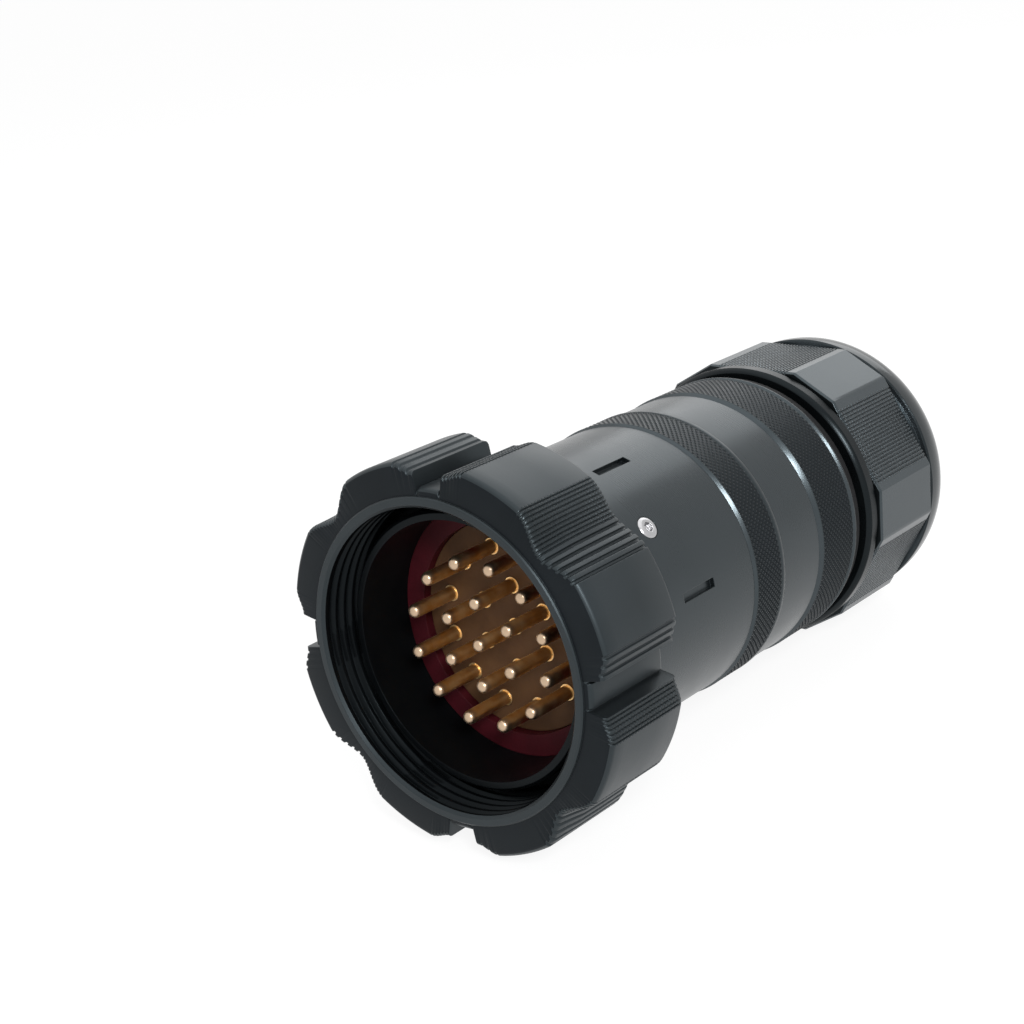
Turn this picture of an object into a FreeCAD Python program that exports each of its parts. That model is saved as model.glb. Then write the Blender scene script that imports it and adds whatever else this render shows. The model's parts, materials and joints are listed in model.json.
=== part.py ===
import FreeCAD, Part
import math
import os

# Circular multipin cable connector, pin side, with a lobed coupling ring and a cable gland.
# Sizes are in millimetres. The pieces are built on a common axis along +X with the mouth at
# x = 0 and +Z up, and are then laid down as the connector rests: on two lobes of the coupling
# ring and on one flat of the gland nut, with the origin on the ground under its middle.

# Fits
RUNNING_CLEARANCE = 0.05
SEAT_CLEARANCE = 0.1
THREAD_CLEARANCE = 0.05

# Shell that surrounds the contacts
SHROUD_WALL = 1.6
SHROUD_SETBACK = 5.6
SHROUD_EDGE = 0.5
NECK_RISE = 0.4
TAIL_DROP = 1.4
TAIL_WALL = 1.9
TAIL_MARGIN = 0.5
FLANGE_THICKNESS = 2.4
SHOULDER_THICKNESS = 1.6
SHOULDER_STEP = 2.5
SEAT_OFFSET = 1.0
KEY_WIDTH = 3.2
KEY_HEIGHT = 1.1
KEY_ANGLE = 75.0
KEY_SETBACK = 1.5

# Coupling ring
RING_LENGTH = 19.6
RING_GAP = 0.4
RING_WEB = 4.0
RING_THREAD_LENGTH = 10.6
RING_WALL = 3.2
RING_RELIEF = 0.9
MATING_GAP = 2.0
FLANGE_CLEARANCE = 0.3
MOUTH_CHAMFER = 0.5
LOBE_HEIGHT = 4.2
VALLEY_DEPTH = 2.5
LOBE_PAIRS = 4
NOTCH_HALF_ANGLE = 5.0
NOTCH_LEAN = 0.5
NOTCH_WALL_HEIGHT = 2.6
CREST_ANGLE = 19.0
LIP_WIDTH = 2.0
LOBE_SETBACK = 0.6
LOBE_EDGE = 0.8
RING_RIB_PITCH = 2.6
RING_RIB_DEPTH = 0.8

# Spring washer behind the shell flange
WASHER_SPACE = 1.2

# Insert, contacts and gasket
GASKET_THICKNESS = 2.0
FACE_RECESS = 0.4
FRONT_INSULATOR_THICKNESS = 6.4
REAR_INSULATOR_THICKNESS = 6.0
RETAINING_RING_THICKNESS = 3.0
RETAINING_RING_WIDTH = 2.6
SPANNER_SLOT = 2.4
SPANNER_SLOT_DEPTH = 1.2
PIN_R = 1.2
PIN_SHANK_STEP = 0.25
PIN_BODY_STEP = 0.3
PIN_TIP_FLAT_R = 0.3
PIN_EXPOSED = 10.2
PIN_TAIL = 5.0
PIN_PITCH = 7.25
INNER_PINS = 6
OUTER_PINS = 12
OUTER_PIN_PHASE = 15.0
INSERT_MARGIN = 4.6

# Front barrel
FRONT_BARREL_LENGTH = 32.4
BARREL_RISE = 0.8
BARREL_EDGE = 0.5
GRIP_SLOTS = 6
GRIP_SLOT_ANGLE = 20.0
GRIP_SLOT_SETBACK = 12.2
GRIP_SLOT_LENGTH = 8.8
GRIP_SLOT_WIDTH = 1.6
GRIP_SLOT_DEPTH = 0.9
SCREW_ANGLE = 50.0
SCREW_SETBACK = 11.1
SCREW_HEAD_R = 2.0
SCREW_HEAD_HEIGHT = 1.1
SCREW_SHANK_R = 1.2
SCREW_REACH = 1.2
SCREW_SOCKET_R = 0.9
SCREW_SOCKET_DEPTH = 0.6

# Rear barrel
BARREL_SPIGOT_LENGTH = 8.4
BARREL_SPIGOT_WALL = 2.4
BAND_LENGTH = 9.5
BAND_RISE = 0.35
BAND_EDGE = 0.8
BAND_LAND = 1.0
BAND_TEETH = 80
BAND_TOOTH_DEPTH = 0.35
REAR_BARREL_SMOOTH = 12.3
GLAND_SOCKET_WALL = 3.0
GLAND_SOCKET_MARGIN = 0.4

# O-rings of the two barrel joints
ORING_WIDTH = 1.8
ORING_DEPTH = 1.1
ORING_SETBACK = 1.6

# Cable gland
GLAND_FRONT_SPIGOT = 9.8
GLAND_FRONT_WALL = 2.8
GLAND_BAND_LENGTH = 12.3
GLAND_THREAD_STEP = 2.0
GLAND_THREAD_ENGAGED = 20.5
GLAND_PASSAGE_STEP = 1.2
NUT_GAP = 3.5
SEAL_WALL = 5.75
SEAL_LENGTH = 15.0
SEAL_PROUD = 1.0
SEAL_EDGE = 1.2
POCKET_WALL = 2.4
GLAND_ORING_WIDTH = 2.6
GLAND_ORING_HEIGHT = 1.7
THRUST_WASHER_THICKNESS = 1.6
THRUST_WASHER_STEP = 1.6
THRUST_WASHER_CLEARANCE = 0.3

# Gland nut
NUT_WALL = 2.4
NUT_FLATS = 6
NUT_FLAT_HALF_ANGLE = 20.0
NUT_LAND_LENGTH = 3.0
NUT_LAND_RISE = 0.65
NUT_EDGE = 0.8
NUT_DOME_LENGTH = 9.3
NUT_DOME_RISE = 0.9
NUT_HOLE_STEP = 2.8
NUT_HOLE_DEPTH = 8.6
NUT_RIM_WIDTH = 3.4
NUT_RIM_DEPTH = 3.0
NUT_RIBS = 9
NUT_RIB_DEPTH = 0.5
NUT_GROOVE_WIDTH = 1.0
NUT_GROOVE_DEPTH = 0.5

# Radii that follow from the sizes above
inner_pin_circle_r = PIN_PITCH / 2 / math.sin(math.pi / INNER_PINS)
outer_pin_circle_r = PIN_PITCH / 2 / math.sin(math.pi / OUTER_PINS)
pin_shank_r = PIN_R + PIN_SHANK_STEP
pin_body_r = pin_shank_r + PIN_BODY_STEP
nose_bore_r = outer_pin_circle_r + INSERT_MARGIN
insert_bore_r = nose_bore_r + SHOULDER_STEP
tail_r = insert_bore_r + TAIL_WALL
neck_r = tail_r + TAIL_DROP
shroud_r = neck_r - NECK_RISE
shroud_bore_r = shroud_r - SHROUD_WALL
ring_thread_r = shroud_r + MATING_GAP
flange_r = ring_thread_r - FLANGE_CLEARANCE
notch_r = ring_thread_r + RING_WALL
crest_r = notch_r + LOBE_HEIGHT
valley_r = crest_r - VALLEY_DEPTH
ring_web_bore_r = neck_r + RUNNING_CLEARANCE
barrel_r = neck_r + BARREL_RISE
barrel_bore_r = tail_r + THREAD_CLEARANCE
rear_bore_r = tail_r - BARREL_SPIGOT_WALL
band_r = barrel_r + BAND_RISE
gland_socket_r = barrel_r - GLAND_SOCKET_WALL
gland_front_r = gland_socket_r - THREAD_CLEARANCE
gland_front_bore_r = gland_front_r - GLAND_FRONT_WALL
gland_thread_r = barrel_r - GLAND_THREAD_STEP
pocket_r = gland_thread_r - POCKET_WALL
seal_r = pocket_r - RUNNING_CLEARANCE
cable_r = seal_r - SEAL_WALL
passage_r = cable_r + GLAND_PASSAGE_STEP
nut_bore_r = gland_thread_r + RUNNING_CLEARANCE
nut_flat_r = nut_bore_r + NUT_WALL
nut_corner_r = nut_flat_r / math.cos(math.radians(NUT_FLAT_HALF_ANGLE))
nut_hole_r = cable_r + NUT_HOLE_STEP

# Places along the axis that follow from the sizes above
web_front = RING_LENGTH - RING_WEB
flange_rear = web_front - WASHER_SPACE
flange_front = flange_rear - FLANGE_THICKNESS
barrel_front = RING_LENGTH + RING_GAP
gasket_seat = barrel_front - SEAT_OFFSET
gasket_front = gasket_seat - GASKET_THICKNESS
insert_face = gasket_seat - FACE_RECESS
insert_seat = gasket_seat + SHOULDER_THICKNESS
insulator_joint = insert_seat + FRONT_INSULATOR_THICKNESS
insert_rear = insulator_joint + REAR_INSULATOR_THICKNESS
retainer_rear = insert_rear + RETAINING_RING_THICKNESS
tail_end = retainer_rear + TAIL_MARGIN
pin_tip = insert_face - PIN_EXPOSED
pin_end = retainer_rear + PIN_TAIL
band_front = barrel_front + FRONT_BARREL_LENGTH
band_rear = band_front + BAND_LENGTH
spigot_front = band_front - BARREL_SPIGOT_LENGTH
gland_seat = band_rear + REAR_BARREL_SMOOTH
gland_front = gland_seat - GLAND_FRONT_SPIGOT
gland_band_rear = gland_seat + GLAND_BAND_LENGTH
nut_front = gland_band_rear + NUT_GAP
gland_end = nut_front + GLAND_THREAD_ENGAGED
seal_end = gland_end + SEAL_PROUD
seal_front = seal_end - SEAL_LENGTH
washer_front = seal_end + SEAT_CLEARANCE
washer_rear = washer_front + THRUST_WASHER_THICKNESS
nut_shoulder = washer_rear + SEAT_CLEARANCE
nut_end = nut_shoulder + NUT_HOLE_DEPTH
nut_flats_end = nut_end - NUT_DOME_LENGTH
nut_flats_front = nut_front + NUT_LAND_LENGTH
screw_x = barrel_front + SCREW_SETBACK
grip_slot_x = barrel_front + GRIP_SLOT_SETBACK
front_oring_x = spigot_front + ORING_SETBACK
rear_oring_x = gland_front + ORING_SETBACK

AXIS = FreeCAD.Vector(1, 0, 0)
ORIGIN = FreeCAD.Vector(0, 0, 0)


def polar(x, radius, angle):
    """Point at a radius from the axis, at an angle in degrees from +Z towards -Y."""
    turn = math.radians(angle)
    return FreeCAD.Vector(x, -radius * math.sin(turn), radius * math.cos(turn))


def closed_wire(steps, to_point):
    """Closed outline through steps; a step that holds two points is an arc through the first."""
    start = to_point(steps[0])
    here = start
    edges = []
    for step in steps[1:] + [steps[0]]:
        if isinstance(step[0], tuple):
            there = to_point(step[1])
            edges.append(Part.Arc(here, to_point(step[0]), there).toShape())
        else:
            there = to_point(step)
            if there.isEqual(here, 1e-6):
                continue
            edges.append(Part.LineSegment(here, there).toShape())
        here = there
    return Part.Wire(edges)


def revolved(profile):
    """Solid of revolution about the axis from an outline of (x, radius) points."""
    wire = closed_wire(profile, lambda point: FreeCAD.Vector(point[0], 0, point[1]))
    return Part.Face(wire).revolve(ORIGIN, AXIS, 360)


def extruded(outline, x0, x1):
    """Bar along the axis from an outline of (angle, radius) points."""
    wire = closed_wire(outline, lambda point: polar(x0, point[1], point[0]))
    return Part.Face(wire).extrude(AXIS * (x1 - x0))


def hollow(x0, x1, inner_r, outer_r):
    """Plain ring between two places on the axis."""
    return revolved([(x0, inner_r), (x0, outer_r), (x1, outer_r), (x1, inner_r)])


def rod(x0, x1, radius, centre=ORIGIN):
    """Round bar parallel to the axis."""
    return Part.makeCylinder(radius, x1 - x0, FreeCAD.Vector(x0, centre.y, centre.z), AXIS)


def turned(shape, angle):
    """Copy of a shape turned about the axis, from +Z towards -Y."""
    copy = shape.copy()
    copy.rotate(ORIGIN, AXIS, angle)
    return copy


def joined(first, *others):
    return first.fuse(list(others)).removeSplitter()


def ribs(start, end, count, radius_at, depth):
    """Outline points of a row of axial ribs with grooves between them."""
    pitch = (end - start) / count
    points = []
    for index in range(count):
        for share, drop in ((0.1, 0), (0.5, 0), (0.65, depth), (0.95, depth)):
            angle = start + (index + share) * pitch
            points.append((angle, radius_at(angle) - drop))
    return points


def eased(value, high):
    """Smooth rise from 0 to 1 as a value goes from 0 to a high mark."""
    share = min(1.0, max(0.0, value / high))
    return share * share * (3 - 2 * share)


def coupling_ring():
    """Ring with deep notches, ribbed flanks, smooth crests and shallow ribbed valleys."""
    span = 360.0 / LOBE_PAIRS
    middle = span / 2
    lobe_middle = span / 4
    crest_start = lobe_middle - CREST_ANGLE / 2
    crest_end = lobe_middle + CREST_ANGLE / 2
    flank_start = NOTCH_HALF_ANGLE + NOTCH_LEAN
    flank_low_r = notch_r + NOTCH_WALL_HEIGHT

    def flank_r(angle):
        rise = eased(angle - flank_start, crest_start - flank_start)
        return flank_low_r + (crest_r - flank_low_r) * rise

    def valley_at(angle):
        rise = eased(abs(angle - middle), middle - crest_end)
        return valley_r + (crest_r - valley_r) * rise

    flank_ribs = round((crest_start - flank_start) / RING_RIB_PITCH)
    valley_ribs = round(2 * (middle - crest_end) / RING_RIB_PITCH)
    rising = ribs(flank_start, crest_start, flank_ribs, flank_r, RING_RIB_DEPTH)
    one_pair = [(NOTCH_HALF_ANGLE, notch_r), (flank_start, flank_low_r)]
    one_pair += rising
    one_pair += [(crest_start, crest_r), ((lobe_middle, crest_r), (crest_end, crest_r))]
    one_pair += ribs(crest_end, span - crest_end, valley_ribs, valley_at, RING_RIB_DEPTH)
    one_pair += [(span - crest_end, crest_r)]
    one_pair += [((span - lobe_middle, crest_r), (span - crest_start, crest_r))]
    one_pair += [(span - angle, radius) for angle, radius in reversed(rising)]
    one_pair += [(span - flank_start, flank_low_r), (span - NOTCH_HALF_ANGLE, notch_r)]
    one_pair += [((span, notch_r), (span + NOTCH_HALF_ANGLE, notch_r))]

    def moved(step, angle):
        if isinstance(step[0], tuple):
            return tuple(moved(point, angle) for point in step)
        return (step[0] + angle, step[1])

    outline = one_pair[:1]
    for pair in range(LOBE_PAIRS):
        outline += [moved(step, pair * span) for step in one_pair[1:]]
    lobed = extruded(outline, 0, RING_LENGTH)
    lip_r = ring_thread_r + MOUTH_CHAMFER + LIP_WIDTH
    beyond_r = crest_r + LOBE_EDGE
    envelope = revolved([
        (0, ring_thread_r + MOUTH_CHAMFER),
        (0, lip_r),
        (LOBE_SETBACK, lip_r),
        (LOBE_SETBACK, crest_r - LOBE_EDGE),
        (LOBE_SETBACK + LOBE_EDGE, crest_r),
        (LOBE_SETBACK + LOBE_EDGE, beyond_r),
        (RING_LENGTH - LOBE_EDGE, beyond_r),
        (RING_LENGTH - LOBE_EDGE, crest_r),
        (RING_LENGTH, crest_r - LOBE_EDGE),
        (RING_LENGTH, ring_web_bore_r),
        (web_front, ring_web_bore_r),
        (web_front, ring_thread_r + RING_RELIEF),
        (RING_THREAD_LENGTH, ring_thread_r + RING_RELIEF),
        (RING_THREAD_LENGTH, ring_thread_r),
        (MOUTH_CHAMFER, ring_thread_r),
    ])
    return lobed.common(envelope)


def plug_shell():
    """Shroud round the contacts, flange for the ring, neck, and tail for the barrel."""
    body = revolved([
        (SHROUD_SETBACK, shroud_bore_r),
        (SHROUD_SETBACK, shroud_r - SHROUD_EDGE),
        (SHROUD_SETBACK + SHROUD_EDGE, shroud_r),
        (flange_front, shroud_r),
        (flange_front, flange_r),
        (flange_rear, flange_r),
        (flange_rear, neck_r),
        (barrel_front, neck_r),
        (barrel_front, tail_r),
        (tail_end, tail_r),
        (tail_end, insert_bore_r),
        (insert_seat, insert_bore_r),
        (insert_seat, nose_bore_r),
        (gasket_seat, nose_bore_r),
        (gasket_seat, shroud_bore_r),
    ])
    key_front = SHROUD_SETBACK + KEY_SETBACK
    key_base = shroud_bore_r + SHROUD_WALL / 2
    key = Part.makeBox(
        gasket_front - key_front, KEY_WIDTH, KEY_HEIGHT + SHROUD_WALL / 2,
        FreeCAD.Vector(key_front, -KEY_WIDTH / 2, key_base - KEY_HEIGHT - SHROUD_WALL / 2))
    shell = joined(body, turned(key, KEY_ANGLE))
    seat = barrel_r - SCREW_HEAD_HEIGHT - SCREW_REACH
    return shell.cut(screw_hole(seat, SCREW_SHANK_R))


def screw_hole(floor_r, radius):
    """Radial cylinder at the place of the locking screw, from a floor radius outwards."""
    height = barrel_r + BARREL_RISE - floor_r
    hole = Part.makeCylinder(radius, height, FreeCAD.Vector(screw_x, 0, floor_r))
    return turned(hole, SCREW_ANGLE)


def wave_washer():
    return hollow(flange_rear + SEAT_CLEARANCE, web_front - SEAT_CLEARANCE,
                  neck_r + RUNNING_CLEARANCE, flange_r)


def face_gasket():
    return hollow(gasket_front, gasket_seat, nose_bore_r, shroud_bore_r)


def pin_places():
    """Centres of the contacts: one in the middle, then an inner and an outer circle."""
    centres = [ORIGIN]
    for index in range(INNER_PINS):
        centres.append(polar(0, inner_pin_circle_r, index * 360.0 / INNER_PINS))
    for index in range(OUTER_PINS):
        angle = OUTER_PIN_PHASE + index * 360.0 / OUTER_PINS
        centres.append(polar(0, outer_pin_circle_r, angle))
    return centres


def bored(disc, x0, x1, radius):
    """Disc with a hole for each contact."""
    reach = 1.0
    holes = [rod(x0 - reach, x1 + reach, radius, centre) for centre in pin_places()]
    return disc.cut(Part.makeCompound(holes))


def front_insulator():
    disc = revolved([
        (insert_face, 0),
        (insert_face, nose_bore_r - SEAT_CLEARANCE),
        (insert_seat, nose_bore_r - SEAT_CLEARANCE),
        (insert_seat, insert_bore_r - SEAT_CLEARANCE),
        (insulator_joint, insert_bore_r - SEAT_CLEARANCE),
        (insulator_joint, 0),
    ])
    return bored(disc, insert_face, insulator_joint, pin_shank_r + RUNNING_CLEARANCE)


def rear_insulator():
    disc = rod(insulator_joint, insert_rear, insert_bore_r - SEAT_CLEARANCE)
    return bored(disc, insulator_joint, insert_rear, pin_body_r + RUNNING_CLEARANCE)


def insert_retaining_ring():
    outer_r = insert_bore_r - THREAD_CLEARANCE
    ring = hollow(insert_rear, retainer_rear, outer_r - RETAINING_RING_WIDTH, outer_r)
    slot = Part.makeBox(
        SPANNER_SLOT_DEPTH, 2 * insert_bore_r, SPANNER_SLOT,
        FreeCAD.Vector(retainer_rear - SPANNER_SLOT_DEPTH, -insert_bore_r, -SPANNER_SLOT / 2))
    return ring.cut(slot)


def contact_pin(centre):
    """Round pin with a rounded tip, a thicker shank in the insert and a thicker solder end."""
    round_r = PIN_R - PIN_TIP_FLAT_R
    bulge = round_r * math.sin(math.pi / 4)
    pin = revolved([
        (pin_tip, 0),
        (pin_tip, PIN_TIP_FLAT_R),
        ((pin_tip + round_r - bulge, PIN_TIP_FLAT_R + bulge), (pin_tip + round_r, PIN_R)),
        (insert_face, PIN_R),
        (insert_face, pin_shank_r),
        (insulator_joint, pin_shank_r),
        (insulator_joint, pin_body_r),
        (pin_end, pin_body_r),
        (pin_end, 0),
    ])
    pin.translate(centre)
    return pin


def front_barrel():
    body = revolved([
        (barrel_front, barrel_bore_r),
        (barrel_front, barrel_r - BARREL_EDGE),
        (barrel_front + BARREL_EDGE, barrel_r),
        (band_front, barrel_r),
        (band_front, barrel_bore_r),
    ])
    floor = barrel_r - GRIP_SLOT_DEPTH
    slot = Part.makeBox(
        GRIP_SLOT_LENGTH, GRIP_SLOT_WIDTH, 2 * GRIP_SLOT_DEPTH,
        FreeCAD.Vector(grip_slot_x, -GRIP_SLOT_WIDTH / 2, floor))
    for index in range(GRIP_SLOTS):
        body = body.cut(turned(slot, GRIP_SLOT_ANGLE + index * 360.0 / GRIP_SLOTS))
    head_floor = barrel_r - SCREW_HEAD_HEIGHT
    body = body.cut(screw_hole(head_floor, SCREW_HEAD_R + RUNNING_CLEARANCE))
    return body.cut(screw_hole(head_floor - TAIL_WALL, SCREW_SHANK_R + RUNNING_CLEARANCE))


def locking_screw():
    head_floor = barrel_r - SCREW_HEAD_HEIGHT
    head = Part.makeCylinder(
        SCREW_HEAD_R, SCREW_HEAD_HEIGHT, FreeCAD.Vector(screw_x, 0, head_floor))
    shank = Part.makeCylinder(
        SCREW_SHANK_R, SCREW_REACH, FreeCAD.Vector(screw_x, 0, head_floor - SCREW_REACH))
    socket = Part.makeCylinder(
        SCREW_SOCKET_R, SCREW_SOCKET_DEPTH,
        FreeCAD.Vector(screw_x, 0, barrel_r - SCREW_SOCKET_DEPTH))
    return turned(joined(head, shank).cut(socket), SCREW_ANGLE)


def knurled_band(x0, x1, inner_r):
    """Band with fine axial teeth between a bevelled front edge and a smooth rear land."""
    outline = []
    for index in range(BAND_TEETH):
        pitch = 360.0 / BAND_TEETH
        outline.append((index * pitch, band_r))
        outline.append(((index + 0.5) * pitch, band_r - BAND_TOOTH_DEPTH))
    root_r = band_r - BAND_TOOTH_DEPTH
    toothed = extruded(outline, x0 + BAND_EDGE, x1 - BAND_LAND)
    core = revolved([
        (x0, inner_r),
        (x0, band_r - BAND_EDGE),
        (x0 + BAND_EDGE, band_r),
        (x0 + BAND_EDGE, root_r),
        (x1 - BAND_LAND, root_r),
        (x1 - BAND_LAND, band_r),
        (x1, band_r),
        (x1, inner_r),
    ])
    toothed = toothed.cut(rod(x0, x1, (inner_r + root_r) / 2))
    return core.fuse(toothed)


def rear_barrel():
    body = revolved([
        (spigot_front, rear_bore_r),
        (spigot_front, tail_r),
        (front_oring_x, tail_r),
        (front_oring_x, tail_r - ORING_DEPTH),
        (front_oring_x + ORING_WIDTH, tail_r - ORING_DEPTH),
        (front_oring_x + ORING_WIDTH, tail_r),
        (band_front, tail_r),
        (band_front, tail_r - BARREL_SPIGOT_WALL / 2),
        (band_rear, tail_r - BARREL_SPIGOT_WALL / 2),
        (band_rear, barrel_r),
        (gland_seat - BARREL_EDGE, barrel_r),
        (gland_seat, barrel_r - BARREL_EDGE),
        (gland_seat, gland_socket_r),
        (gland_front - GLAND_SOCKET_MARGIN, gland_socket_r),
        (gland_front - GLAND_SOCKET_MARGIN, rear_bore_r),
    ])
    band = knurled_band(band_front, band_rear, tail_r - BARREL_SPIGOT_WALL / 2)
    return joined(body, band)


def joint_oring(x, groove_r):
    """Sealing ring that fills its groove up to the bore round it."""
    crown_r = groove_r + THREAD_CLEARANCE / 2
    return hollow(x + SEAT_CLEARANCE, x + ORING_WIDTH - SEAT_CLEARANCE,
                  groove_r - ORING_DEPTH, crown_r)


def front_barrel_oring():
    return joint_oring(front_oring_x, tail_r)


def rear_barrel_oring():
    return joint_oring(rear_oring_x, gland_front_r)


def gland_body():
    body = revolved([
        (gland_front, gland_front_bore_r),
        (gland_front, gland_front_r),
        (rear_oring_x, gland_front_r),
        (rear_oring_x, gland_front_r - ORING_DEPTH),
        (rear_oring_x + ORING_WIDTH, gland_front_r - ORING_DEPTH),
        (rear_oring_x + ORING_WIDTH, gland_front_r),
        (gland_seat, gland_front_r),
        (gland_seat, gland_front_r - GLAND_FRONT_WALL / 2),
        (gland_band_rear, gland_front_r - GLAND_FRONT_WALL / 2),
        (gland_band_rear, gland_thread_r),
        (gland_end, gland_thread_r),
        (gland_end, pocket_r),
        (seal_front, pocket_r),
        (seal_front, passage_r),
        (gland_band_rear, passage_r),
        (gland_seat, gland_front_bore_r),
    ])
    band = knurled_band(gland_seat, gland_band_rear, gland_front_r - GLAND_FRONT_WALL / 2)
    return joined(body, band)


def gland_oring():
    """Ring of six-sided section in the gap ahead of the nut."""
    front = gland_band_rear + SEAT_CLEARANCE
    rear = front + GLAND_ORING_WIDTH
    crown_r = gland_thread_r + GLAND_ORING_HEIGHT
    bevel = GLAND_ORING_WIDTH / 4
    return revolved([
        (front, gland_thread_r),
        (front, crown_r - bevel),
        (front + bevel, crown_r),
        (rear - bevel, crown_r),
        (rear, crown_r - bevel),
        (rear, gland_thread_r),
    ])


def seal_grommet():
    """Rubber sleeve that the nut squeezes on to the cable."""
    return revolved([
        (seal_front, cable_r),
        (seal_front, seal_r),
        (seal_end - SEAL_EDGE, seal_r),
        (seal_end, seal_r - SEAL_EDGE),
        (seal_end, cable_r),
    ])


def thrust_washer():
    return hollow(washer_front, washer_rear, cable_r + THRUST_WASHER_STEP,
                  nut_bore_r - THRUST_WASHER_CLEARANCE)


def gland_nut():
    """Nut with six ribbed flats, smooth lands between them and a domed rear."""
    outline = []
    side = 360.0 / NUT_FLATS

    for index in range(NUT_FLATS):
        start = index * side - NUT_FLAT_HALF_ANGLE
        end = index * side + NUT_FLAT_HALF_ANGLE
        middle = index * side

        def flat_at(angle):
            return nut_flat_r / math.cos(math.radians(angle - middle))

        rib_start = start + NUT_FLAT_HALF_ANGLE / 4
        rib_end = end - NUT_FLAT_HALF_ANGLE / 4
        outline.append((start, nut_corner_r))
        outline += ribs(rib_start, rib_end, NUT_RIBS, flat_at, NUT_RIB_DEPTH)
        outline.append((end, nut_corner_r))
    faceted = extruded(outline, nut_flats_front, nut_flats_end)
    land_r = nut_flat_r + NUT_LAND_RISE
    dome_r = nut_flat_r + NUT_DOME_RISE
    groove_r = nut_flat_r - NUT_GROOVE_DEPTH
    rim_r = nut_hole_r + NUT_RIM_WIDTH
    core = revolved([
        (nut_front, nut_bore_r),
        (nut_front, land_r - NUT_EDGE),
        (nut_front + NUT_EDGE, land_r),
        (nut_flats_front, land_r),
        (nut_flats_front, groove_r),
        (nut_flats_end + NUT_GROOVE_WIDTH, groove_r),
        (nut_flats_end + NUT_GROOVE_WIDTH, dome_r),
        ((nut_end - NUT_DOME_LENGTH * 0.45, dome_r - NUT_RIM_WIDTH * 0.3), (nut_end, rim_r)),
        (nut_end, nut_hole_r + NUT_EDGE),
        (nut_end - NUT_EDGE, nut_hole_r),
        (nut_shoulder, nut_hole_r),
        (nut_shoulder, nut_bore_r),
    ])
    faceted = faceted.cut(rod(nut_flats_front, nut_flats_end, (nut_bore_r + groove_r) / 2))
    return joined(core, faceted)


def rest_tilt():
    """Slope of the axis, in degrees, when the ring and the nut both touch the ground."""
    lobe_middle = 360.0 / LOBE_PAIRS / 4
    crest_start = lobe_middle - CREST_ANGLE / 2
    ring_drop = crest_r * math.cos(math.radians(crest_start))
    ring_contact = RING_LENGTH - LOBE_EDGE
    return math.degrees(math.atan2(ring_drop - nut_flat_r, nut_flats_end - ring_contact))


def laid_down(shapes):
    """All shapes tilted to rest on the ground, with the origin under the middle."""
    tilt = rest_tilt()
    for shape in shapes.values():
        shape.rotate(ORIGIN, FreeCAD.Vector(0, 1, 0), tilt)
    box = Part.makeCompound(list(shapes.values())).optimalBoundingBox(False)
    shift = FreeCAD.Vector(-box.Center.x, -box.Center.y, -box.ZMin)
    for shape in shapes.values():
        shape.translate(shift)
    mouth = FreeCAD.Vector(shift)
    print("tilt", round(tilt, 4), "mouth centre", mouth)
    return shapes


def main():
    shapes = {
        "coupling_ring": coupling_ring(),
        "plug_shell": plug_shell(),
        "wave_washer": wave_washer(),
        "face_gasket": face_gasket(),
        "front_insulator": front_insulator(),
        "rear_insulator": rear_insulator(),
        "insert_retaining_ring": insert_retaining_ring(),
        "front_barrel": front_barrel(),
        "locking_screw": locking_screw(),
        "front_barrel_oring": front_barrel_oring(),
        "rear_barrel": rear_barrel(),
        "rear_barrel_oring": rear_barrel_oring(),
        "gland_body": gland_body(),
        "gland_oring": gland_oring(),
        "seal_grommet": seal_grommet(),
        "thrust_washer": thrust_washer(),
        "gland_nut": gland_nut(),
    }
    for number, centre in enumerate(pin_places(), start=1):
        shapes["contact_pin_%02d" % number] = contact_pin(centre)
    os.makedirs("parts", exist_ok=True)
    for name, shape in laid_down(shapes).items():
        shape.exportStep("parts/" + name + ".step")
        kind = shape.ShapeType
        print(name, kind, len(shape.Solids), "solid", round(shape.Volume, 2), shape.isValid())


main()
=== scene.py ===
import json
import math

import bmesh
import bpy
from mathutils import Matrix, Vector

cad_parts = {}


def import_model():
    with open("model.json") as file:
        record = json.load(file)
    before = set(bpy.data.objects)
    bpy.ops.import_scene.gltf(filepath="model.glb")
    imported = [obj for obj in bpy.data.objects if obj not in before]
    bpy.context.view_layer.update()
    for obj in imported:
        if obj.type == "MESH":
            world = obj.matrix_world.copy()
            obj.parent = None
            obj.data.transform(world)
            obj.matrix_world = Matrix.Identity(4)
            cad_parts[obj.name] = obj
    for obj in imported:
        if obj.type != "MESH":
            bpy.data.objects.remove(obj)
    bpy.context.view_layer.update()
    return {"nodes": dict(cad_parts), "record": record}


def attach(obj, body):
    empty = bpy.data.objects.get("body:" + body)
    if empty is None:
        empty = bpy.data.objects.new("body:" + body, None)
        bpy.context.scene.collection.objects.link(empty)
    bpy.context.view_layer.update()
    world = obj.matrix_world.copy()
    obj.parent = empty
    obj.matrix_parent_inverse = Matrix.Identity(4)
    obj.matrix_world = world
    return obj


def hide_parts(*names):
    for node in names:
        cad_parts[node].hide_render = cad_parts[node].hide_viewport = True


# Dress of a round multipin cable connector. Lengths are in millimetres along and round the
# connector's own axis, with the mouth at x = 0, and are turned into the row frame in metres.
# Angles run from the top towards -Y.

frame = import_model()
scene = bpy.context.scene
nodes = frame["nodes"]
record = frame["record"]

MM = 0.001
CABLE_ENTRY_X = 104.0

entry = next(mount for mount in record["mounts"] if mount["name"] == "cable_entry")
AXIS = Vector(entry["axis"]).normalized()
SIDE = Vector((0, 1, 0))
UP = AXIS.cross(SIDE).normalized()
MOUTH = Vector(entry["pos_m"]) - AXIS * CABLE_ENTRY_X * MM

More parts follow.
